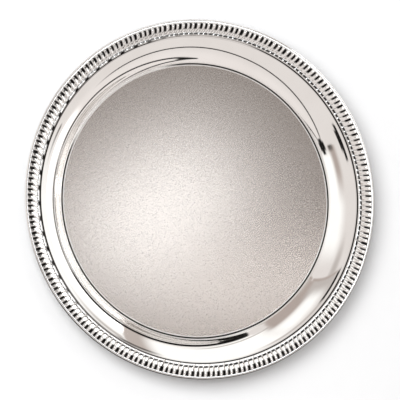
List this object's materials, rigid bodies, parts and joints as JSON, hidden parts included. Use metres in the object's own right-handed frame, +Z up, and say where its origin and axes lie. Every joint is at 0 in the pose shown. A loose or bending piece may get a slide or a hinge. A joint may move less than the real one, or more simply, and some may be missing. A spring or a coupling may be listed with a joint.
{
  "type": "round serving tray",
  "caption": "Round metal serving tray with a flat satin floor, a polished ogee wall and an applied gadroon border on its sloping rim, for carrying and presenting glasses and food.",
  "frame": {"origin": "centre of the underside of the floor, on the surface that the tray stands on", "axes": "+Z up along the axis of the round tray, +X and +Y across it"},
  "size_m": [0.3046, 0.3046, 0.0203],
  "materials": {
    "body_silver": "silver plate: fine bead-blasted satin on the floor, mirror polish on the ring, wall and underside",
    "border_silver": "silver plate, polished, with darker tone left in the grooves",
    "wire_silver": "silver plate, polished smooth",
    "solder": "dull grey cast soft solder"
  },
  "bodies": {
    "root": {"tray_body": "body_silver", "gadroon_mount_1": "border_silver", "gadroon_mount_2": "border_silver", "gadroon_mount_3": "border_silver", "gadroon_mount_4": "border_silver", "solder_bed_1": "solder", "solder_bed_2": "solder", "solder_bed_3": "solder", "solder_bed_4": "solder", "rim_wire": "wire_silver"}
  },
  "joints": []
}
